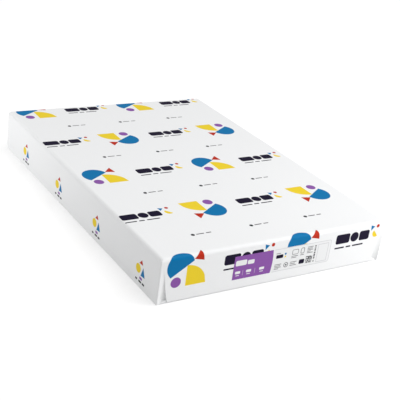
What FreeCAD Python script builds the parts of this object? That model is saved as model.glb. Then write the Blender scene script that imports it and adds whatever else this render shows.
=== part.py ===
import FreeCAD, Part
import math
import os

from FreeCAD import Vector

# A wrapped ream of large office paper, in millimetres.
# X runs along the sheets' short side, Y along their long side, and Z is up.
# The origin lies on the surface the ream rests on, under its middle. The labelled end faces -Y.
# Stack and wrapper are closed up together, so they are one solid. The label is a second one.

# The stack of sheets inside
SHEET_WIDTH = 297.0
SHEET_LENGTH = 420.0
SHEET_COUNT = 500
SHEET_THICKNESS = 0.104

# The wrapper, drawn round the stack as a sleeve that laps under the ream
WRAP_THICKNESS = 0.15
SIDE_SLACK = 0.5            # air between the sheets' edges and the sleeve, on each long side
TOP_SLACK = 0.2             # air between the top sheet and the sleeve
TOP_EDGE_RADIUS = 4.0       # the sleeve bends softly over the upper edges
BOTTOM_EDGE_RADIUS = 1.2    # the ream's weight creases the lower edges
CORNER_RADIUS = 1.6         # upright corners at both ends
SEAM_OFFSET = 15.0          # free edge of the lap, from the middle line of the underside

# The folded ends: side tucks first, then the bottom flap, then the top flap over both
FLAP_THICKNESS = 0.8        # one folded flap, with the air that stays under it
FLAP_START = 2.0            # where the folds of the flaps start, in from the upright corner
TOP_FLAP_INSET = 12.5       # lower end of the top flap's side edge, in from the corner
TOP_FLAP_HEM = 1.5          # height of the top flap's free edge above the underside
BOTTOM_FLAP_ANGLE = 25.0    # slope of the bottom flap's side folds, in degrees

# The paper label stuck on the top flap
LABEL_LENGTH = 130.0
LABEL_HEIGHT = 28.0
LABEL_THICKNESS = 0.15
LABEL_CORNER_RADIUS = 3.0   # the right-hand corners, the left ones are cut square
LABEL_OFFSET = 5.5          # middle of the label, to the right of the ream's middle
LABEL_BOTTOM = 12.5         # lower edge of the label above the underside

# Overall sizes, worked out from the ones above
WIDTH = SHEET_WIDTH + 2 * (SIDE_SLACK + WRAP_THICKNESS)
LENGTH = SHEET_LENGTH + 2 * 3 * FLAP_THICKNESS
HEIGHT = SHEET_COUNT * SHEET_THICKNESS + TOP_SLACK + 2 * WRAP_THICKNESS

# How deep each layer of the folded end lies behind the face of the top flap
TOP_FLAP_DEPTH = 0.0
BOTTOM_FLAP_DEPTH = FLAP_THICKNESS
TUCK_DEPTH = 2 * FLAP_THICKNESS


def on_front(a, b):
    """Place an outline point in the upright plane across the ream."""
    return Vector(a, 0, b)


def on_side(a, b):
    """Place an outline point in the upright plane along the ream."""
    return Vector(0, a, b)


def on_floor(a, b):
    """Place an outline point in the plane the ream rests on."""
    return Vector(a, b, 0)


def bend(before, corner, after, radius):
    """Start, middle and end of the arc that rounds one corner of an outline."""
    back = (before - corner).normalize()
    ahead = (after - corner).normalize()
    half_angle = back.getAngle(ahead) / 2
    reach = radius / math.tan(half_angle)
    inward = (back + ahead).normalize()
    middle = corner + inward * (radius / math.sin(half_angle) - radius)
    return corner + back * reach, middle, corner + ahead * reach


def outline_face(corners, place):
    """A flat face from corners given as (a, b, radius). A radius of 0 leaves the corner sharp."""
    points = [place(a, b) for a, b, radius in corners]
    stops = []
    for i, (a, b, radius) in enumerate(corners):
        if radius > 0:
            after = points[(i + 1) % len(points)]
            stops.append(bend(points[i - 1], points[i], after, radius))
        else:
            stops.append((points[i],))
    edges = []
    for i, stop in enumerate(stops):
        if len(stop) == 3:
            edges.append(Part.Arc(*stop).toShape())
        start = stop[-1]
        end = stops[(i + 1) % len(stops)][0]
        edges.append(Part.LineSegment(start, end).toShape())
    return Part.Face(Part.Wire(edges))


def across(corners):
    """A bar along Y with the given outline, as long as the ream."""
    face = outline_face(corners, on_front)
    face.translate(Vector(0, -LENGTH / 2, 0))
    return face.extrude(Vector(0, LENGTH, 0))


def sleeve():
    """The sleeve's section: soft upper edges, creased lower ones and the lap's step below.

    The ply that starts the wrap lies one wrapper thickness above the lap that covers its edge.
    """
    side = WIDTH / 2
    return across([
        (-side, WRAP_THICKNESS, BOTTOM_EDGE_RADIUS),
        (-SEAM_OFFSET, WRAP_THICKNESS, 0),
        (-SEAM_OFFSET, 0, 0),
        (side, 0, BOTTOM_EDGE_RADIUS),
        (side, HEIGHT, TOP_EDGE_RADIUS),
        (-side, HEIGHT, TOP_EDGE_RADIUS),
    ])


def end_bends():
    """The ream seen from its long side: the flaps bend off the top and the underside."""
    end = LENGTH / 2
    face = outline_face([
        (-end, 0, BOTTOM_EDGE_RADIUS),
        (end, 0, BOTTOM_EDGE_RADIUS),
        (end, HEIGHT, TOP_EDGE_RADIUS),
        (-end, HEIGHT, TOP_EDGE_RADIUS),
    ], on_side)
    face.translate(Vector(-WIDTH / 2, 0, 0))
    return face.extrude(Vector(WIDTH, 0, 0))


def layer(depth):
    """The ream down to one layer of its folded ends, seen from above.

    Beside each upright corner the layer turns inward, and from there on it lies flat at its
    depth. The corners themselves are the same in all layers.
    """
    side, end = WIDTH / 2, LENGTH / 2
    start, flat = side - FLAP_START, side - TOP_FLAP_INSET
    if depth > 0:
        lower_end = [(-start, -end, 0), (-flat, depth - end, 0), (flat, depth - end, 0), (start, -end, 0)]
    else:
        lower_end = []
    upper_end = [(-a, -b, radius) for a, b, radius in lower_end]
    face = outline_face(
        [(-side, -end, CORNER_RADIUS)] + lower_end + [(side, -end, CORNER_RADIUS)]
        + [(side, end, CORNER_RADIUS)] + upper_end + [(-side, end, CORNER_RADIUS)],
        on_floor)
    return face.extrude(Vector(0, 0, HEIGHT))


def bottom_flap():
    """Both bottom flaps: they rise from the underside and narrow along their side folds.

    Each is drawn up to where its side folds lie behind the top flap, and the rest is hidden there.
    """
    base = WIDTH / 2 - FLAP_START
    top = WIDTH / 2 - TOP_FLAP_INSET
    height = (base - top) * math.tan(math.radians(BOTTOM_FLAP_ANGLE))
    outline = across([
        (-base, 0, 0),
        (base, 0, 0),
        (top, height, 0),
        (-top, height, 0),
    ])
    return layer(BOTTOM_FLAP_DEPTH).common(outline)


def top_flap():
    """Both top flaps: they hang from the upper edge and cover all but a strip at each corner.

    Their side folds start to slant below the bend over the upper edge.
    """
    base = WIDTH / 2 - FLAP_START
    hem = WIDTH / 2 - TOP_FLAP_INSET
    bend_end = HEIGHT - TOP_EDGE_RADIUS
    outline = across([
        (-hem, TOP_FLAP_HEM, 0),
        (hem, TOP_FLAP_HEM, 0),
        (base, bend_end, 0),
        (base, HEIGHT, 0),
        (-base, HEIGHT, 0),
        (-base, bend_end, 0),
    ])
    return layer(TOP_FLAP_DEPTH).common(outline)


def wrapped_ream():
    """The closed pack: stack and wrapper in one solid, with both ends folded shut."""
    folded = layer(TUCK_DEPTH).fuse([bottom_flap(), top_flap()])
    return folded.common(sleeve()).common(end_bends()).removeSplitter()


def end_label():
    """The label, flat on the face of the top flap at the -Y end."""
    left = LABEL_OFFSET - LABEL_LENGTH / 2
    right = LABEL_OFFSET + LABEL_LENGTH / 2
    top = LABEL_BOTTOM + LABEL_HEIGHT
    face = outline_face([
        (left, LABEL_BOTTOM, 0),
        (right, LABEL_BOTTOM, LABEL_CORNER_RADIUS),
        (right, top, LABEL_CORNER_RADIUS),
        (left, top, 0),
    ], on_front)
    face.translate(Vector(0, -LENGTH / 2, 0))
    return face.extrude(Vector(0, -LABEL_THICKNESS, 0))


PIECES = {
    "wrapped_ream": wrapped_ream,
    "end_label": end_label,
}

os.makedirs("parts", exist_ok=True)
for name, make in PIECES.items():
    make().exportStep(os.path.join("parts", name + ".step"))
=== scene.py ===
"""The looks of a wrapped ream of paper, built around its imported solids.

Sizes are in millimetres until a mesh is written, and the frame is the solids' own.
"""
import math

import bpy
from mathutils import Matrix, Vector, noise


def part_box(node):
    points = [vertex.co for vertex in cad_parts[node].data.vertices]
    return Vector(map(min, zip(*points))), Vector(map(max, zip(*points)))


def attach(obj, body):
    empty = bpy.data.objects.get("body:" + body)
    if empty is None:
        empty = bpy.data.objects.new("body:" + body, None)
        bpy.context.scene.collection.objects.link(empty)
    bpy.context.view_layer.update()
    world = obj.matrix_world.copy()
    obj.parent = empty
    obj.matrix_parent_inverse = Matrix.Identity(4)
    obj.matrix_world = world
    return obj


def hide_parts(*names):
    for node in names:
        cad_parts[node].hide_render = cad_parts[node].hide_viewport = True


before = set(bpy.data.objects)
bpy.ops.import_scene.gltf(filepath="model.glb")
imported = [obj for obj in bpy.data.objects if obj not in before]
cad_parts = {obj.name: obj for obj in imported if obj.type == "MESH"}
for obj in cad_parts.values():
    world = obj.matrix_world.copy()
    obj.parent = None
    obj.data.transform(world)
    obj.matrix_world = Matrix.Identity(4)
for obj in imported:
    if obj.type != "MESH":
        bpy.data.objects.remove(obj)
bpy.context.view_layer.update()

MM = 0.001

# The pack's own size, read from the frame
REAM_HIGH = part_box("wrapped_ream")[1] / MM
LABEL_LOW, LABEL_HIGH = (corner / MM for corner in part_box("end_label"))
SIDE = REAM_HIGH.x
END = REAM_HIGH.y
HEIGHT = REAM_HIGH.z

# The wrapper's bends and the lap under it
TOP_RADIUS = 4.0
LOWER_RADIUS = 1.2
CORNER_RADIUS = 1.6
SEAM_OFFSET = 15.0          # free edge of the lap, from the middle line of the underside
SEAM_STEP = 0.15            # one ply
SEAM_SLOPE = 0.12           # width of that step

# The folded ends
FLAP_START = 2.0            # where the folds start, in from the upright corner
FLAP_INSET = 12.5           # lower end of the top flap's side edge, in from the corner
FLAP_HEM = 1.5              # the top flap's free edge above the underside
FLAP_STEP = 0.8             # how far the bottom flap lies behind the top flap
BOTTOM_FLAP_ANGLE = 25.0    # slope of the bottom flap's side folds, in degrees
TUCK_DEPTH = 4.2            # the side tuck's depth at FLAP_INSET, if it reached the underside
TUCK_CURVE = 0.55           # below 1, it deepens fastest near the corner
TUCK_FADE = 2.0             # above 1, it grows shallow fastest near the foot
FOLD_LINE = 1.0             # half the height of the bend between tuck and bottom flap
FOLD_THICKNESS = 0.5        # the top flap's rolled edge
FOLD_REACH = 0.2            # how far the paper turns in behind that edge
FOLD_CLOSED = 0.3           # depth of the layer below, in thicknesses, where the fold is closed
FOLD_OPEN = 3.0             # the same, where it stands open

# A folded edge, from the layer below it out to its face: how far in it lies as a share of the
# reach, how deep as a share of the thickness, or None for the depth of the layer below
FOLD_RINGS = (
    (1.0, None), (1.0, 1.0), (0.12, 1.0), (0.03, 0.85), (0.0, 0.5), (0.03, 0.15), (0.12, 0.0),
)
HIDDEN_RING = 2             # the ring behind the rolled edge
FACE_RING = len(FOLD_RINGS) + 1

# How unevenly the wrapper lies
RELIEF_DEPTH = 0.28
RELIEF_SCALE = 85.0
RELIEF_FADE = (3.0, 30.0)   # it fades in between these distances from the edges
WAVE_RISE = 1.5             # the wave changes this much faster with height
WAVE_SHARE = 0.75
RIPPLE_SHARE = 0.25
RIPPLE_SIZE = 0.3           # share of the wave's scale
RIPPLE_PLACE = (7.3, 1.1, 4.2)
SIDE_HOLLOW = 0.2
HOLLOW_FADE = (2.0, 40.0)   # it fades in between these distances from the ends

# Lines of the wrapper's grid: distances in from an edge, heights, or steps
BEND_STEPS = (0.0, 0.35, 0.65, 0.9, 1.1, 1.35, 1.6, 1.96, 2.35, 2.7, 3.05, 3.37, 3.7, 4.0)
LOWER_ROWS = (0.0, 0.3, 0.6, 0.9, LOWER_RADIUS, FLAP_HEM)
FINE_ROW = 0.22
FINE_ROWS_END = 7.5
COARSE_ROW = 2.0
STRIP_START = 1.5
STRIP_COLUMNS = 32
RING_GAP = 0.1
FLAP_RUN = 1.4              # from the flap's side edge to its first even column
RUN_SHARES = (0.0, 0.06, 0.15, 0.3, 0.5, 0.75)
FLAT_START = 16.5
BEND_STATIONS = (5.0, 7.0, 9.5, 12.5)
EVEN_STATIONS_START = 17.0
GRID_STEP = 6.0
CREASE_ANGLE = 32.0         # edges sharper than this, in degrees, stay crisp

# The bake map's least step between grid lines, and the gap between its islands
BAKE_STEP = 1.0
BAKE_MARGIN = 6.0

# The print's repeat, on the wrapper laid flat with the middle of the top at 0
REPEAT_ACROSS = SIDE / 2
REPEAT_ALONG = END / 2
PRINT_START_ACROSS = -118.0
PRINT_START_ALONG = -228.0
WORD_SHIFT = 4.0
MARK_SHIFT = 0.5            # the small marks have cells of their own, shifted by this share
SIDE_MOTIF_DROP = 29.0      # middle of a long side's motif below the upper edge
SIDE_TEXT_DROP = 43.0
SIDE_PRINT_START = 2.0
BARE_MARGIN = 8.0
BLANK = 5000.0              # a place on the flat sheet where nothing is printed
INK_EDGE = 0.35

# The label
LABEL_CORNER = 3.0
CORNER_PIECES = 8
# The pale line just inside the label's edge is painted shade, standing in for the shadow at that
# edge
EDGE_SHADE_INSET = 0.4
EDGE_SHADE_WIDTH = 0.4
FIELD_WIDTH = 50.3          # the purple field, with a bulging right-hand edge
FIELD_BULGE = 85.0
ENTRY_PLACES = (6, 20, 37)
DIVIDER_PLACES = (12.5, 28)
SMALL_LINE = 0.75
SMALL_LINES = (             # middle across, middle up, length
    (57, 22.3, 6), (58.5, 8.6, 9), (58, 6.8, 8), (58.5, 5.0, 9), (57, 3.2, 6),
    (79.5, 8.4, 9), (78.5, 6.4, 7), (79.5, 4.4, 9), (80, 15.6, 9), (79, 13.8, 7),
    (90, 15.4, 5),
    (100.5, 23.6, 8), (100, 21.8, 7), (100.5, 20.0, 8), (99, 18.2, 5), (100.5, 16.4, 8),
)
CODE_CELL = 0.62
CODE_SHARE = 0.62
STRIP_SHARE = 0.7
DIVIDER_INK = 0.5
SMALL_INK = 0.9
CODE_INK = 0.95

# The label's bake map: its face below, then its back, then its rim
BAKE_FACE_HEIGHT = 0.84
BAKE_BACK_START = 0.86
BAKE_BACK_HEIGHT = 0.06
BAKE_RIM_START = 0.94
BAKE_RIM_HEIGHT = 0.05
BAKE_RIM_FILL = 0.8

# The paper's surface
WRAPPER_ROUGHNESS = 0.42
LABEL_ROUGHNESS = 0.38
PAPER_GLOSS = 0.07
MOTTLE = 0.05
FIBRE_HEIGHT = 0.05
FIBRE_DETAIL = 4
WRAPPER_FIBRES = (1.1, 0.25)    # size and strength
LABEL_FIBRES = (0.9, 0.2)

# Colours of the paper and the inks, as linear light
WRAPPER_WHITE = (0.76, 0.765, 0.77)
LABEL_WHITE = (0.72, 0.725, 0.73)
BLUE = (0.0, 0.145, 0.35)
PURPLE = (0.225, 0.082, 0.325)
RED = (0.43, 0.024, 0.008)
YELLOW = (0.735, 0.545, 0.024)
NAVY = (0.005, 0.002, 0.018)
GREY = (0.02, 0.02, 0.024)
# This pale grey is ink for the label's box, and also painted shade along the label's edge
PRINT_AND_EDGE_SHADE_GREY = (0.45, 0.45, 0.47)

# The studio. A panel is its name, place, target, width and height, and power in watts
FLOOR_REACH = 25000.0
FLOOR_WHITE = (0.46, 0.46, 0.46)
FLOOR_ROUGHNESS = 0.9
FLOOR_GLOW = 0.53
SUN_PLACE = (150, -70, 600)
SUN_POWER = 2.2
SUN_SPREAD = 60.0
WORLD_POWER = 0.35
PANELS = (
    ("front_right", (500, -500, 200), (60, -120, 30), (300, 200), 1.25),
    ("high_right", (700, -600, 500), (60, -60, 30), (400, 400), 2.1),
    ("far_left", (-450, 230, 60), (-SIDE, 100, 30), (300, 90), 0.48),
)

# The camera, fitted to the photograph's edges. Its clip distances are in metres
CAMERA_AZIMUTH = -34.59
CAMERA_ELEVATION = 24.63
CAMERA_DISTANCE = 1129.0
CAMERA_ROLL = 8.02
CAMERA_TARGET = (26.6, -8.9, 0.0)
FOCAL_PIXELS = 884.1
PICTURE_PIXELS = 400
SENSOR = 36.0
CLIP_NEAR = 0.01
CLIP_FAR = 50


def smooth(value, low, high):
    """0 below low, 1 above high and a soft step between."""
    share = min(1.0, max(0.0, (value - low) / (high - low)))
    return share * share * (3 - 2 * share)


def spread(low, high, step):
    """Evenly spaced places from low to high, about a step apart."""
    count = max(1, round((high - low) / step))
    return [low + (high - low) * i / count for i in range(count + 1)]


# The wrapper's grid

def flap_edge(z):
    """How far in from the upright corner the top flap's side edge lies at a height.

    The edge starts to slant below the bend over the upper edge.
    """
    start = HEIGHT - TOP_RADIUS
    drop = (start - z) / (start - FLAP_HEM)
    return FLAP_START + (FLAP_INSET - FLAP_START) * min(1.0, max(0.0, drop))


def column(kind, value):
    """One place across the pack: its ring of the flap's side edge, and its place at a height."""
    if kind == "corner":
        return 0, lambda z: value
    if kind == "strip":
        return 0, lambda z: STRIP_START + (flap_edge(z) - STRIP_START) * value
    if kind == "fold":
        return value, lambda z: flap_edge(z) + RING_GAP * value
    if kind == "run":
        return FACE_RING, lambda z: (
            flap_edge(z) + FLAP_RUN + (FLAT_START - flap_edge(z) - FLAP_RUN) * value)
    return FACE_RING, lambda z: value


def columns():
    """Places across the pack from -X to +X, as (side, ring, distance in from that side)."""
    half = [column("corner", s) for s in BEND_STEPS if s < STRIP_START]
    half += [column("strip", i / STRIP_COLUMNS) for i in range(STRIP_COLUMNS + 1)]
    half += [column("fold", ring) for ring in range(1, FACE_RING)]
    half += [column("run", share) for share in RUN_SHARES]
    flat = spread(FLAT_START, SIDE, GRID_STEP)
    middle = [column("flat", s) for s in flat]
    seam = [SIDE - SEAM_OFFSET - SEAM_SLOPE, SIDE - SEAM_OFFSET]
    left_middle = [column("flat", s) for s in sorted(flat + seam)]
    left = [(-1, ring, place) for ring, place in half + left_middle]
    right = [(1, ring, place) for ring, place in reversed(half + middle[:-1])]
    return left + right


def rows():
    """Heights from the floor up, as (ring of the top flap's free edge, height)."""
    lower = [(0, z) for z in LOWER_ROWS]
    fold = [(ring, FLAP_HEM + RING_GAP * ring) for ring in range(1, FACE_RING)]
    fine = spread(FLAP_HEM + FLAP_RUN, FINE_ROWS_END, FINE_ROW)
    middle = spread(FINE_ROWS_END, HEIGHT - TOP_RADIUS, COARSE_ROW)
    upper = [HEIGHT - s for s in reversed(BEND_STEPS)]
    return lower + fold + [(FACE_RING, z) for z in fine[:-1] + middle[:-1] + upper]


def stations():
    """Places along the pack."""
    half = [*BEND_STEPS, *BEND_STATIONS, *spread(EVEN_STATIONS_START, END, GRID_STEP)]
    return [s - END for s in half] + [END - s for s in reversed(half[:-1])]


class Grid:
    """The wrapper as one closed grid on the six sides of a box.

    Each face is kept as the box's side it is on, the grid places of its corners and their points.
    """

    def __init__(self):
        self.columns, self.stations, self.rows = columns(), stations(), rows()
        self.last = (len(self.columns) - 1, len(self.stations) - 1, len(self.rows) - 1)
        self.index, self.points, self.boxed, self.faces = {}, [], [], []
        for axis in range(3):
            for far in (False, True):
                self.add_side(axis, far)

    def vertex(self, place):
        """The number of the point at a grid place, which is made when it is first met."""
        if place not in self.index:
            i, j, k = place
            side, column_ring, reach = self.columns[i]
            row_ring, z = self.rows[k]
            s, depth = reach(z), 0.0
            if j in (0, self.last[1]):
                s, z, depth = end_point(column_ring, row_ring, s, z)
            point = wrapper_point(side, s, self.stations[j], z, depth, k == self.last[2],
                                  i in (0, self.last[0]))
            self.index[place] = len(self.points)
            self.points.append(point)
            self.boxed.append((side, s, self.stations[j], z))
        return self.index[place]

    def add_side(self, axis, far):
        first, second = (other for other in range(3) if other != axis)
        flip = far == (axis == 1)
        for a in range(self.last[first]):
            for b in range(self.last[second]):
                ring = []
                for step_a, step_b in ((0, 0), (1, 0), (1, 1), (0, 1)):
                    place = [0, 0, 0]
                    place[axis] = self.last[axis] if far else 0
                    place[first], place[second] = a + step_a, b + step_b
                    ring.append(tuple(place))
                if flip:
                    ring.reverse()
                self.faces.append((axis, far, ring, [self.vertex(place) for place in ring]))


# The wrapper's shape

def rounded(a, b, radius):
    """Two distances in from two meeting faces, carried onto the bend that rounds their edge."""
    if a >= radius or b >= radius:
        return a, b
    reach_a, reach_b = radius - a, radius - b
    length = math.hypot(reach_a, reach_b)
    scale = max(reach_a, reach_b) / length
    return radius - reach_a * scale, radius - reach_b * scale


def below_depth(s, z):
    """How deep the side tuck or the bottom flap lies, a distance s in from the corner.

    The tuck lies deepest beside the lower end of the top flap's edge, above the bottom flap.
    """
    turn = max(0.0, min(1.0, (s - FLAP_START) / (FLAP_INSET - FLAP_START)))
    tuck = TUCK_DEPTH * turn ** TUCK_CURVE * max(0.0, 1 - z / HEIGHT) ** TUCK_FADE
    fold_height = (s - FLAP_START) * math.tan(math.radians(BOTTOM_FLAP_ANGLE))
    on_bottom_flap = smooth(fold_height - z, -FOLD_LINE, FOLD_LINE)
    return tuck + (min(tuck, FLAP_STEP) - tuck) * on_bottom_flap


def flap_place(across, up, ring, edge):
    """Where a folded edge's ring lies across the edge, and how deep.

    Where the layer below lies too close, the fold closes up and its rings lie side by side.
    """
    share, depth = FOLD_RINGS[ring - 1]
    below = below_depth(across, up)
    room = smooth(below, FOLD_THICKNESS * FOLD_CLOSED, FOLD_THICKNESS * FOLD_OPEN)
    flat = RING_GAP * ring
    place = edge + flat + (FOLD_REACH * share - flat) * room
    deep = below if depth is None else min(below, FOLD_THICKNESS * depth)
    return place, deep


def end_point(column_ring, row_ring, s, z):
    """A point of the folded end, as (distance in from the corner, height, depth)."""
    ring = min(column_ring, row_ring)
    if ring == 0:
        return s, z, below_depth(s, z)
    if ring == FACE_RING:
        return s, z, 0.0
    edge = flap_edge(z)
    reach = FOLD_REACH * FOLD_RINGS[ring - 1][0]
    across, up, depths = s, z, []
    if column_ring == ring:
        across, depth = flap_place(edge, z, ring, edge)
        depths.append(depth)
    elif column_ring != FACE_RING:
        across = edge + reach + RING_GAP * (column_ring - ring)
    if row_ring == ring:
        up, depth = flap_place(max(s, FLAP_INSET), FLAP_HEM, ring, FLAP_HEM)
        depths.append(depth)
    elif row_ring != FACE_RING:
        up = FLAP_HEM + reach + RING_GAP * (row_ring - ring)
    return across, up, min(depths)


def unevenness(x, y, z):
    """A slow wave in the paper with a ripple on it, from 0 to 1."""
    wave = noise.noise(Vector((x, y, z * WAVE_RISE)) / RELIEF_SCALE)
    ripple = noise.noise(Vector((x, y, z)) / (RELIEF_SCALE * RIPPLE_SIZE) + Vector(RIPPLE_PLACE))
    return min(1.0, max(0.0, 0.5 + WAVE_SHARE * wave + RIPPLE_SHARE * ripple))


def lap_step(x, z):
    """The underside is one ply higher beyond the free edge of the lap, up to its lower bend."""
    step = SEAM_STEP * (1 - smooth(x, -SEAM_OFFSET - SEAM_SLOPE, -SEAM_OFFSET))
    return step * max(0.0, 1 - z / LOWER_RADIUS)


def wrapper_point(side, s, y, z, depth, on_top, on_side):
    """One point of the wrapper, from its place on the pack's sharp-edged box."""
    end = END - abs(y)
    relief, hollow = 0.0, 0.0
    if on_top:
        relief = RELIEF_DEPTH * smooth(min(s, end), *RELIEF_FADE) * unevenness(side * s, y, z)
    if on_side:
        band = math.sin(math.pi * min(1.0, max(0.0, z / HEIGHT))) * smooth(end, *HOLLOW_FADE)
        hollow = band * (SIDE_HOLLOW + RELIEF_DEPTH * unevenness(side * SIDE, y, z))
    top = HEIGHT - z
    s, top = rounded(s, top, TOP_RADIUS)
    s, low = rounded(s, HEIGHT - top, LOWER_RADIUS)
    end, top = rounded(end, HEIGHT - low, TOP_RADIUS)
    end, low = rounded(end, HEIGHT - top, LOWER_RADIUS)
    end, s = rounded(end, s, CORNER_RADIUS)
    x = side * (SIDE - s - hollow)
    y = math.copysign(END - end - depth, y)
    return x, y, low - relief + lap_step(x, low)


# The wrapper's maps

def flat_reach(a, radius):
    """Distance on the flat sheet from the middle of a bend, for a distance a in from the edge."""
    if a >= radius:
        return a - radius + radius * math.pi / 4
    return radius * (math.pi / 4 - math.atan2(radius - a, radius))


def end_print_place(grid, places, s, y, edges, drop):
    """Where a point of a folded end lies on the print. The parts that turn away stay bare."""
    top_edge, end_edge = edges
    rings = [min(grid.columns[i][1], grid.rows[k][0]) for i, j, k in places]
    if min(rings) > HIDDEN_RING:
        return top_edge - flat_reach(s, TOP_RADIUS), math.copysign(end_edge + drop, y)
    if max(rings) < HIDDEN_RING and min(grid.rows[k][0] for i, j, k in places) > 0:
        return top_edge + drop, math.copysign(end_edge + s, y)
    return None


def print_place(grid, axis, far, places, boxed):
    """Where a point of one face lies on the print, with the wrapper laid flat."""
    side, s, y, z = boxed
    top_edge = SIDE - TOP_RADIUS * (1 - math.pi / 4)
    end_edge = END - TOP_RADIUS * (1 - math.pi / 4)
    drop = flat_reach(HEIGHT - z, TOP_RADIUS)
    along = math.copysign(end_edge - flat_reach(END - abs(y), TOP_RADIUS), y)
    if axis == 0:
        return side * (top_edge + drop), along
    if axis == 2 and far:
        return side * (top_edge - flat_reach(s, TOP_RADIUS)), along
    if axis == 2:
        if max(END - abs(grid.stations[j]) for i, j, k in places) < LOWER_RADIUS + CORNER_RADIUS:
            return BLANK, BLANK
        return side * (top_edge + HEIGHT + flat_reach(s, LOWER_RADIUS)), along
    found = end_print_place(grid, places, s, y, (top_edge, end_edge), drop)
    if found is None:
        return BLANK, BLANK
    return side * found[0], found[1]


def running_total(lengths):
    """The sums of the first 0, 1, 2 and so on lengths."""
    total = [0.0]
    for length in lengths:
        total.append(total[-1] + length)
    return total


def bake_spans(grid):
    """Places of the grid's lines on the bake map, none closer together than the least step."""
    across = [abs(place(0.0)) for side, ring, place in grid.columns]
    heights = [z for ring, z in grid.rows]
    spans = []
    for places in (across, grid.stations, heights):
        steps = [max(BAKE_STEP, abs(b - a)) for a, b in zip(places, places[1:])]
        spans.append(running_total(steps))
    return spans


def bake_places(spans):
    """Lower left corners of the six sides on the bake map, and the map's size."""
    across, along, up = (span[-1] + BAKE_MARGIN for span in spans)
    corners = {
        (2, True): (0, 0), (2, False): (across, 0),
        (0, False): (0, along), (0, True): (0, along + up),
        (1, False): (0, along + 2 * up), (1, True): (across, along + 2 * up),
    }
    return corners, max(2 * across, along, along + 3 * up)


def map_wrapper(obj, grid):
    """The wrapper's two maps: its place on the print, and a place of its own for baking."""
    printed = obj.data.uv_layers.new(name="print")
    baked = obj.data.uv_layers.new(name="OFBake")
    spans = bake_spans(grid)
    corners, size = bake_places(spans)
    for polygon, (axis, far, places, ring) in zip(obj.data.polygons, grid.faces):
        first, second = (other for other in range(3) if other != axis)
        left, low = corners[axis, far]
        for loop, place, vertex in zip(polygon.loop_indices, places, ring):
            u, v = print_place(grid, axis, far, places, grid.boxed[vertex])
            printed.data[loop].uv = (u * MM, v * MM)
            baked.data[loop].uv = ((left + spans[first][place[first]]) / size,
                                   (low + spans[second][place[second]]) / size)


def mesh_object(name, points, faces):
    """A mesh in metres from points in millimetres."""
    mesh = bpy.data.meshes.new(name)
    mesh.from_pydata([Vector(p) * MM for p in points], [], faces)
    mesh.validate()
    obj = bpy.data.objects.new(name, mesh)
    bpy.context.scene.collection.objects.link(obj)
    return obj


def smooth_by_angle(obj):
    """Smooth shading, with sharper edges left crisp."""
    obj.data.shade_smooth()
    obj.data.set_sharp_from_angle(angle=math.radians(CREASE_ANGLE))


def make_wrapper():
    """The printed wrapper, folded shut round the stack."""
    grid = Grid()
    obj = mesh_object("wrapper", grid.points, [ring for axis, far, places, ring in grid.faces])
    map_wrapper(obj, grid)
    smooth_by_angle(obj)
    obj.data.materials.append(wrapper_paper())
    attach(obj, "root")
    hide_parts("wrapped_ream")


# Shapes drawn by a material's nodes

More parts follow.
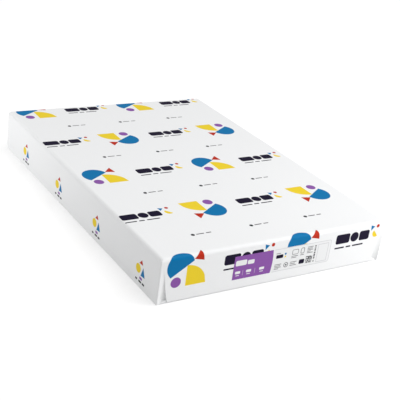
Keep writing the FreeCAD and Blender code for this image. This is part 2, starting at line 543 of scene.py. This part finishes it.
class Drawing:
    """Flat shapes as nodes. Each is a distance in millimetres, above 0 inside the shape."""

    def __init__(self, material):
        self.tree = material.node_tree

    def node(self, kind, operation, values, output):
        """A node for one operation. A value is a number, a vector or another node's output."""
        made = self.tree.nodes.new(kind)
        made.operation = operation
        for socket, value in zip(made.inputs, values):
            if isinstance(value, bpy.types.NodeSocket):
                self.tree.links.new(value, socket)
            else:
                socket.default_value = value
        return made.outputs[output]

    def math(self, operation, *values):
        return self.node("ShaderNodeMath", operation, values, "Value")

    def vector(self, operation, *values):
        return self.node("ShaderNodeVectorMath", operation, values, "Vector")

    def measure(self, operation, *values):
        return self.node("ShaderNodeVectorMath", operation, values, "Value")

    def scaled(self, vector, factor):
        """A vector or a colour times a number."""
        made = self.tree.nodes.new("ShaderNodeVectorMath")
        made.operation = "SCALE"
        self.tree.links.new(vector, made.inputs[0])
        self.tree.links.new(factor, made.inputs["Scale"])
        return made.outputs[0]

    def odd(self, whole):
        """1 where a whole number is odd, 0 where it is even."""
        return self.math("PINGPONG", whole, 1.0)

    def between(self, value, low, high):
        """1 where a value lies between two limits, elsewhere 0."""
        return self.math("COMPARE", value, (low + high) / 2, (high - low) / 2)

    def parts(self, vector):
        made = self.tree.nodes.new("ShaderNodeSeparateXYZ")
        self.tree.links.new(vector, made.inputs[0])
        return made.outputs["X"], made.outputs["Y"]

    def both(self, *shapes):
        found = shapes[0]
        for shape in shapes[1:]:
            found = self.math("MINIMUM", found, shape)
        return found

    def either(self, *shapes):
        found = shapes[0]
        for shape in shapes[1:]:
            found = self.math("MAXIMUM", found, shape)
        return found

    def disc(self, at, centre, radius):
        return self.math("SUBTRACT", radius, self.measure("DISTANCE", at, (*centre, 0)))

    def side_of(self, at, point, degrees):
        """The half of the plane behind a line through a point, whose outward side faces degrees."""
        out = Vector((math.cos(math.radians(degrees)), math.sin(math.radians(degrees)), 0))
        past = self.measure("DOT_PRODUCT", at, tuple(out))
        return self.math("SUBTRACT", out.dot(Vector((*point, 0))), past)

    def box(self, at, centre, size):
        away = self.vector("ABSOLUTE", self.vector("SUBTRACT", at, (*centre, 0)))
        left = self.vector("SUBTRACT", (size[0] / 2, size[1] / 2, 0), away)
        return self.both(*self.parts(left))

    def pill(self, at, centre, size, radius):
        """A box with round corners."""
        away = self.vector("ABSOLUTE", self.vector("SUBTRACT", at, (*centre, 0)))
        core = (size[0] / 2 - radius, size[1] / 2 - radius, 0)
        past = self.vector("MAXIMUM", self.vector("SUBTRACT", away, core), (0, 0, 0))
        return self.math("SUBTRACT", radius, self.measure("LENGTH", past))

    def polygon(self, at, corners):
        """A convex shape through corners given counter-clockwise."""
        lines = []
        for i, (x, y) in enumerate(corners):
            next_x, next_y = corners[(i + 1) % len(corners)]
            outward = math.degrees(math.atan2(x - next_x, next_y - y))
            lines.append(self.side_of(at, (x, y), outward))
        return self.both(*lines)

    def outline(self, shape, width):
        return self.math("SUBTRACT", width / 2, self.math("ABSOLUTE", shape))

    def cover(self, shape):
        """How much of the ink covers the paper: half at the shape's edge, with a soft step."""
        made = self.tree.nodes.new("ShaderNodeMath")
        made.operation = "MULTIPLY_ADD"
        made.use_clamp = True
        self.tree.links.new(shape, made.inputs[0])
        made.inputs[1].default_value = 1 / INK_EDGE
        made.inputs[2].default_value = 0.5
        return made.outputs[0]

    def paint(self, base, cover, colour):
        """A colour over the base, as strongly as the cover says, from 0 to 1."""
        made = self.tree.nodes.new("ShaderNodeMix")
        made.data_type = "RGBA"
        self.tree.links.new(cover, made.inputs["Factor"])
        if isinstance(base, bpy.types.NodeSocket):
            self.tree.links.new(base, made.inputs["A"])
        else:
            made.inputs["A"].default_value = (*base, 1)
        made.inputs["B"].default_value = (*colour, 1)
        return made.outputs["Result"]

    def ink(self, base, shape, field, colour):
        """Print a shape in a colour, as strongly as the field says, from 0 to 1."""
        return self.paint(base, self.math("MULTIPLY", self.cover(shape), field), colour)


# The paper

def paper_material(name, roughness):
    """An empty paper material and its shader. The caller links the colour."""
    material = bpy.data.materials.new(name)
    material.use_nodes = True
    shader = material.node_tree.nodes["Principled BSDF"]
    shader.inputs["Roughness"].default_value = roughness
    shader.inputs["Specular IOR Level"].default_value = PAPER_GLOSS
    return material, shader


def flat_place(draw):
    """The place on a flat sheet, in millimetres, from the object's print map."""
    source = draw.tree.nodes.new("ShaderNodeUVMap")
    source.uv_map = "print"
    return draw.vector("MULTIPLY", source.outputs[0], (1 / MM, 1 / MM, 0))


def fibres(draw, shader, at, colour, size, strength):
    """Fine unevenness of the paper: a slight mottle in the colour and a slight bump."""
    links = draw.tree.links
    mottle = draw.tree.nodes.new("ShaderNodeTexNoise")
    mottle.inputs["Scale"].default_value = 1 / size
    mottle.inputs["Detail"].default_value = FIBRE_DETAIL
    links.new(at, mottle.inputs["Vector"])
    shade = draw.math("MULTIPLY_ADD", mottle.outputs["Fac"], MOTTLE, 1 - MOTTLE / 2)
    links.new(draw.scaled(colour, shade), shader.inputs["Base Color"])
    bump = draw.tree.nodes.new("ShaderNodeBump")
    bump.inputs["Strength"].default_value = strength
    bump.inputs["Distance"].default_value = FIBRE_HEIGHT * MM
    links.new(mottle.outputs["Fac"], bump.inputs["Height"])
    links.new(bump.outputs[0], shader.inputs["Normal"])


# The wrapper's print. Each shape is drawn in millimetres from its cell's middle

def big_motif(draw, at):
    """A loose group of plain shapes in four colours, about 45 mm across."""
    blue = draw.both(draw.disc(at, (-7, 6), 16), draw.side_of(at, (-5, 2), -58))
    yellow = draw.both(draw.disc(at, (0, -19), 25), draw.side_of(at, (0.5, 0), 180),
                       draw.side_of(at, (0, -18), -90), draw.side_of(at, (21, 0), 12))
    red = draw.polygon(at, [(8, 12), (20, 9), (18, 22)])
    purple = draw.disc(at, (-11, -12), 6)
    return blue, yellow, red, purple


def word_block(draw, at):
    """Plain blocks that stand where a word would, with a thin broken rule below."""
    blocks = [draw.pill(at, (-15, 3), (20, 12), 2.6), draw.disc(at, (2, 3), 6),
              draw.pill(at, (16.5, 3), (15, 12), 2.6)]
    rule = [draw.pill(at, (x, -8), (width, 1.9), 0.9)
            for x, width in ((-18, 14), (-5, 7), (9, 16))]
    return draw.either(*blocks, *rule)


def word_accents(draw, at):
    """Three small shapes beside the blocks."""
    blue = draw.polygon(at, [(26, 7), (31, 12), (25, 14)])
    yellow = draw.both(draw.disc(at, (34, 3), 5), draw.side_of(at, (34, 3), 40))
    red = draw.disc(at, (35.5, 12), 2.2)
    return blue, yellow, red


def small_mark(draw, at):
    """A short dark mark, about 26 mm long."""
    return draw.either(draw.disc(at, (-10, 0), 2.3), draw.pill(at, (-1, 0), (10, 1.8), 0.9),
                       draw.pill(at, (9.5, 0), (7, 1.8), 0.9))


def side_motif(draw, at):
    """A smaller group of the same colours for the long sides, about 20 mm across."""
    blue = draw.polygon(at, [(-10, -6), (-1, -7), (-5, 4)])
    yellow = draw.disc(at, (5, -1), 5.2)
    red = draw.polygon(at, [(-4, 6), (4, 5.5), (-1, 11)])
    purple = draw.pill(at, (-2, -10), (6, 2.8), 1.2)
    return blue, yellow, red, purple


def side_text(draw, at):
    """Small dark blocks below the side's motif."""
    return draw.either(*[draw.pill(at, (x, 0), (width, 2.2), 0.9)
                         for x, width in ((-8, 5), (-1, 6), (7, 4))])


def repeat(draw, flat, shift):
    """A repeating cell of the print, shifted by a share of its size.

    Gives the place in the cell, the place of the cell's middle on the sheet, and the cell's
    number across and along.
    """
    size = Vector((REPEAT_ACROSS, REPEAT_ALONG, 1))
    start = Vector((PRINT_START_ACROSS, PRINT_START_ALONG, 0)) + size * shift
    moved = draw.vector("SUBTRACT", flat, start)
    at = draw.vector("WRAP", moved, size / 2, -size / 2)
    number = draw.vector("DIVIDE", draw.vector("SUBTRACT", moved, at), size)
    return at, draw.vector("SUBTRACT", flat, at), draw.parts(number)


def open_field(draw, middle, margin):
    """1 for a cell of the top or the underside, 0 where its middle is on a long side or bare.

    The long side starts this margin before the upper edge, or past it if the margin is below 0.
    """
    reach = draw.math("ABSOLUTE", draw.parts(middle)[0])
    on_side = draw.between(reach, SIDE - margin, SIDE + HEIGHT + BARE_MARGIN)
    return draw.math("SUBTRACT", draw.math("LESS_THAN", reach, BLANK / 2), on_side)


def side_place(draw, flat):
    """The place in a long side's own row of print, and 1 on the long sides."""
    across, along = draw.parts(flat)
    drop = draw.math("SUBTRACT", draw.math("ABSOLUTE", across), SIDE)
    past = draw.math("SUBTRACT", along, PRINT_START_ALONG + REPEAT_ALONG / 2)
    made = draw.tree.nodes.new("ShaderNodeCombineXYZ")
    wrapped = draw.math("WRAP", past, REPEAT_ALONG / 2, -REPEAT_ALONG / 2)
    draw.tree.links.new(wrapped, made.inputs[0])
    draw.tree.links.new(draw.math("SUBTRACT", SIDE_MOTIF_DROP, drop), made.inputs[1])
    return made.outputs[0], draw.between(drop, SIDE_PRINT_START, HEIGHT - SIDE_PRINT_START)


def wrapper_paper():
    """The wrapper's paper with its print: motifs and words in turn, small marks between them.

    Every other row of motifs stands on its head.
    """
    material, shader = paper_material("wrapper_paper", WRAPPER_ROUGHNESS)
    draw = Drawing(material)
    flat = flat_place(draw)
    at, middle, (across, along) = repeat(draw, flat, 0)
    field = open_field(draw, middle, -BARE_MARGIN)
    words = draw.math("MULTIPLY", field, draw.odd(draw.math("ADD", across, along)))
    motifs = draw.math("SUBTRACT", field, words)
    turned = draw.scaled(at, draw.math("MULTIPLY_ADD", draw.odd(along), -2.0, 1.0))
    word_at = draw.vector("ADD", at, (WORD_SHIFT, 0, 0))
    side_at, sides = side_place(draw, flat)
    text_at = draw.vector("ADD", side_at, (0, SIDE_TEXT_DROP - SIDE_MOTIF_DROP, 0))
    mark_at, mark_middle = repeat(draw, flat, MARK_SHIFT)[:2]
    marks = open_field(draw, mark_middle, BARE_MARGIN)

    colour = WRAPPER_WHITE
    for ink, large, little in zip((BLUE, YELLOW, RED, PURPLE), big_motif(draw, turned),
                                  side_motif(draw, side_at)):
        colour = draw.ink(colour, large, motifs, ink)
        colour = draw.ink(colour, little, sides, ink)
    colour = draw.ink(colour, word_block(draw, word_at), words, NAVY)
    for ink, accent in zip((BLUE, YELLOW, RED), word_accents(draw, word_at)):
        colour = draw.ink(colour, accent, words, ink)
    colour = draw.ink(colour, small_mark(draw, mark_at), marks, GREY)
    colour = draw.ink(colour, side_text(draw, text_at), sides, GREY)
    fibres(draw, shader, flat, colour, *WRAPPER_FIBRES)
    return material


# The label. Its shapes are drawn in millimetres from its lower left corner

def label_outline():
    """The label's outline on the end, counter-clockwise as seen from outside."""
    left, right = LABEL_LOW.x, LABEL_HIGH.x
    low, high = LABEL_LOW.z, LABEL_HIGH.z
    points = [(left, low)]
    for centre_x, centre_z, start in ((right - LABEL_CORNER, low + LABEL_CORNER, -90),
                                      (right - LABEL_CORNER, high - LABEL_CORNER, 0)):
        for i in range(CORNER_PIECES + 1):
            angle = math.radians(start + 90 * i / CORNER_PIECES)
            points.append((centre_x + LABEL_CORNER * math.cos(angle),
                           centre_z + LABEL_CORNER * math.sin(angle)))
    return points + [(left, high)]


def map_label(obj, count):
    """The label's two maps: millimetres on its face, and a place of its own for baking."""
    printed = obj.data.uv_layers.new(name="print")
    baked = obj.data.uv_layers.new(name="OFBake")
    size = LABEL_HIGH - LABEL_LOW
    for polygon in obj.data.polygons:
        for corner, loop in enumerate(polygon.loop_indices):
            x, y, z = obj.data.vertices[obj.data.loops[loop].vertex_index].co / MM - LABEL_LOW
            printed.data[loop].uv = (x * MM, z * MM)
            across, up = x / size.x, z / size.z
            if polygon.index == 0:
                up = up * BAKE_FACE_HEIGHT
            elif polygon.index == 1:
                up = BAKE_BACK_START + up * BAKE_BACK_HEIGHT
            else:
                across = (polygon.index - 2 + (corner in (2, 3)) * BAKE_RIM_FILL) / count
                up = BAKE_RIM_START + (corner in (1, 2)) * BAKE_RIM_HEIGHT
            baked.data[loop].uv = (across, up)


def make_label():
    """The paper label on the near end."""
    outline = label_outline()
    count = len(outline)
    front = [(x, LABEL_LOW.y, z) for x, z in outline]
    back = [(x, LABEL_HIGH.y, z) for x, z in outline]
    faces = [tuple(range(count)), tuple(reversed(range(count, 2 * count)))]
    for i in range(count):
        ahead = (i + 1) % count
        faces.append((i, i + count, ahead + count, ahead))
    obj = mesh_object("label", front + back, faces)
    map_label(obj, count)
    smooth_by_angle(obj)
    obj.data.materials.append(label_paper())
    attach(obj, "root")
    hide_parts("end_label")


def random_cells(draw, at, size, share):
    """1 or 0 at random in each cell of a grid, with about this share of ones."""
    cells = draw.vector("FLOOR", draw.vector("DIVIDE", at, size))
    noise_node = draw.tree.nodes.new("ShaderNodeTexWhiteNoise")
    draw.tree.links.new(cells, noise_node.inputs["Vector"])
    return draw.math("LESS_THAN", noise_node.outputs["Value"], share)


def label_purple_side(draw, at):
    """White blocks on the purple field: a title, then three short entries with rules."""
    title = [draw.pill(at, (9, 19.5), (14, 6.4), 1.6), draw.pill(at, (21.5, 18.8), (8.5, 5), 1.4)]
    entries = []
    for x in ENTRY_PLACES:
        entries += [draw.pill(at, (x, 8.2), (6.5, 3.1), 0.9),
                    draw.pill(at, (x, 4.6), (4.6, 0.8), 0.35)]
    dividers = [draw.box(at, (x, 7), (0.45, 6)) for x in DIVIDER_PLACES]
    return draw.either(*title, *entries), draw.either(*dividers)


def label_white_side(draw, at):
    """Dark blocks, then small grey lines and icons, on the white part."""
    dark = [draw.pill(at, (59, 18.4), (9.5, 4.4), 1.1), draw.pill(at, (91, 6.8), (7.5, 5.6), 1.2)]
    lines = [draw.box(at, (x, z), (width, SMALL_LINE)) for x, z, width in SMALL_LINES]
    icons = [draw.outline(draw.disc(at, (69.5, 6.4), 2.7), 0.8), draw.disc(at, (69.5, 6.4), 1.2),
             draw.outline(draw.pill(at, (80, 20.6), (8, 5.6), 1.2), 0.6),
             draw.outline(draw.pill(at, (90, 20.6), (4.4, 6.4), 1.2), 0.7)]
    return draw.either(*dark), draw.either(*lines, *icons)


def label_accents(draw, at):
    """A blue dot and a yellow triangle, as (colour, shape)."""
    return ((BLUE, draw.disc(at, (66.6, 20.6), 1.3)),
            (YELLOW, draw.polygon(at, [(65.4, 16.2), (68.2, 16.2), (66.8, 18.8)])))


def label_codes(draw, at):
    """A square and a strip of random cells, where a code would be."""
    square = draw.math("MULTIPLY", draw.cover(draw.box(at, (100.7, 7.8), (8.7, 8.7))),
                       random_cells(draw, at, (CODE_CELL, CODE_CELL, 1), CODE_SHARE))
    strip = draw.math("MULTIPLY", draw.cover(draw.box(at, (107.8, 13.6), (2.0, 21.4))),
                      random_cells(draw, at, (10, CODE_CELL, 1), STRIP_SHARE))
    return draw.math("MAXIMUM", square, strip)


def label_box_and_edge_shade(draw, at, width, height):
    """Pale lines: a printed box at the right, and painted shade as a thin line just inside the
    label's edge.
    """
    box = draw.outline(draw.box(at, (118.8, 13.4), (14.3, 22)), 0.5)
    size = (width - 2 * EDGE_SHADE_INSET, height - 2 * EDGE_SHADE_INSET)
    edge_shade = draw.pill(at, (width / 2, height / 2), size, LABEL_CORNER - EDGE_SHADE_INSET)
    return draw.either(box, draw.outline(edge_shade, EDGE_SHADE_WIDTH))


def label_paper():
    """The label's print: a purple field at the left and small dark print on white, with painted
    shade as a pale line along the white part's edge.
    """
    material, shader = paper_material("label_paper", LABEL_ROUGHNESS)
    draw = Drawing(material)
    at = flat_place(draw)
    size = LABEL_HIGH - LABEL_LOW
    field = draw.both(draw.side_of(at, (FIELD_WIDTH, 0), 0),
                      draw.disc(at, (FIELD_WIDTH - FIELD_BULGE, size.z / 2), FIELD_BULGE))
    white, dividers = label_purple_side(draw, at)
    dark, grey = label_white_side(draw, at)
    codes = draw.math("MULTIPLY", label_codes(draw, at), CODE_INK)
    past_field = draw.math("GREATER_THAN", draw.parts(at)[0], FIELD_WIDTH + 1)

    colour = draw.ink(LABEL_WHITE, field, 1.0, PURPLE)
    colour = draw.ink(colour, white, 1.0, LABEL_WHITE)
    colour = draw.ink(colour, dividers, DIVIDER_INK, LABEL_WHITE)
    colour = draw.ink(colour, dark, 1.0, NAVY)
    colour = draw.ink(colour, grey, SMALL_INK, GREY)
    colour = draw.paint(colour, codes, GREY)
    for ink, shape in label_accents(draw, at):
        colour = draw.ink(colour, shape, 1.0, ink)
    # Pale grey: the printed box, and painted shade as a line along the label's edge
    colour = draw.ink(colour, label_box_and_edge_shade(draw, at, size.x, size.z), past_field, PRINT_AND_EDGE_SHADE_GREY)
    fibres(draw, shader, at, colour, *LABEL_FIBRES)
    return material


# The studio

def floor_material():
    """Plain white that glows a little, so that the shadows on it stay faint."""
    material = bpy.data.materials.new("floor_white")
    material.use_nodes = True
    shader = material.node_tree.nodes["Principled BSDF"]
    shader.inputs["Base Color"].default_value = (*FLOOR_WHITE, 1)
    shader.inputs["Roughness"].default_value = FLOOR_ROUGHNESS
    shader.inputs["Emission Color"].default_value = (1, 1, 1, 1)
    shader.inputs["Emission Strength"].default_value = FLOOR_GLOW
    return material


def make_floor():
    """A plain pale floor, so wide that its edge stays out of sight."""
    corners = ((-1, -1), (1, -1), (1, 1), (-1, 1))
    points = [(FLOOR_REACH * a, FLOOR_REACH * b, 0) for a, b in corners]
    floor = mesh_object("floor", points, [(0, 1, 2, 3)])
    floor.data.materials.append(floor_material())


def aimed(name, data, place, target):
    """A light at a place, in millimetres, turned to a target. The camera doesn't see it."""
    light = bpy.data.objects.new(name, data)
    light.location = Vector(place) * MM
    light.rotation_mode = "QUATERNION"
    light.rotation_quaternion = (Vector(target) - Vector(place)).to_track_quat("-Z", "Y")
    light.visible_camera = False
    bpy.context.scene.collection.objects.link(light)


def make_lights():
    """Soft light from above, brighter at the right, and less on the long side's near part."""
    above = bpy.data.lights.new("above", "SUN")
    above.energy = SUN_POWER
    above.angle = math.radians(SUN_SPREAD)
    aimed("above", above, SUN_PLACE, (0, 0, 0))
    for name, place, target, (width, height), power in PANELS:
        panel = bpy.data.lights.new(name, "AREA")
        panel.shape = "RECTANGLE"
        panel.size, panel.size_y = width * MM, height * MM
        panel.energy = power
        aimed(name, panel, place, target)
    world = bpy.data.worlds.new("studio")
    world.use_nodes = True
    background = world.node_tree.nodes["Background"]
    background.inputs["Color"].default_value = (1, 1, 1, 1)
    background.inputs["Strength"].default_value = WORLD_POWER
    bpy.context.scene.world = world
    bpy.context.scene.view_settings.view_transform = "Standard"


def make_camera():
    """The camera at the photograph's angle, turned about its own axis as the photograph is."""
    azimuth, elevation = math.radians(CAMERA_AZIMUTH), math.radians(CAMERA_ELEVATION)
    roll = math.radians(CAMERA_ROLL)
    back = Vector((math.sin(azimuth) * math.cos(elevation),
                   -math.cos(azimuth) * math.cos(elevation), math.sin(elevation)))
    level = Vector((math.cos(azimuth), math.sin(azimuth), 0))
    upright = back.cross(level)
    right = level * math.cos(roll) + upright * math.sin(roll)
    up = back.cross(right)
    data = bpy.data.cameras.new("camera")
    data.sensor_width = SENSOR
    data.lens = FOCAL_PIXELS / PICTURE_PIXELS * SENSOR
    data.clip_start, data.clip_end = CLIP_NEAR, CLIP_FAR
    camera = bpy.data.objects.new("camera", data)
    turn = Matrix((right, up, back)).transposed().to_4x4()
    place = (Vector(CAMERA_TARGET) + back * CAMERA_DISTANCE) * MM
    camera.matrix_world = Matrix.Translation(place) @ turn
    bpy.context.scene.collection.objects.link(camera)
    bpy.context.scene.camera = camera


make_wrapper()
make_label()
make_floor()
make_lights()
make_camera()
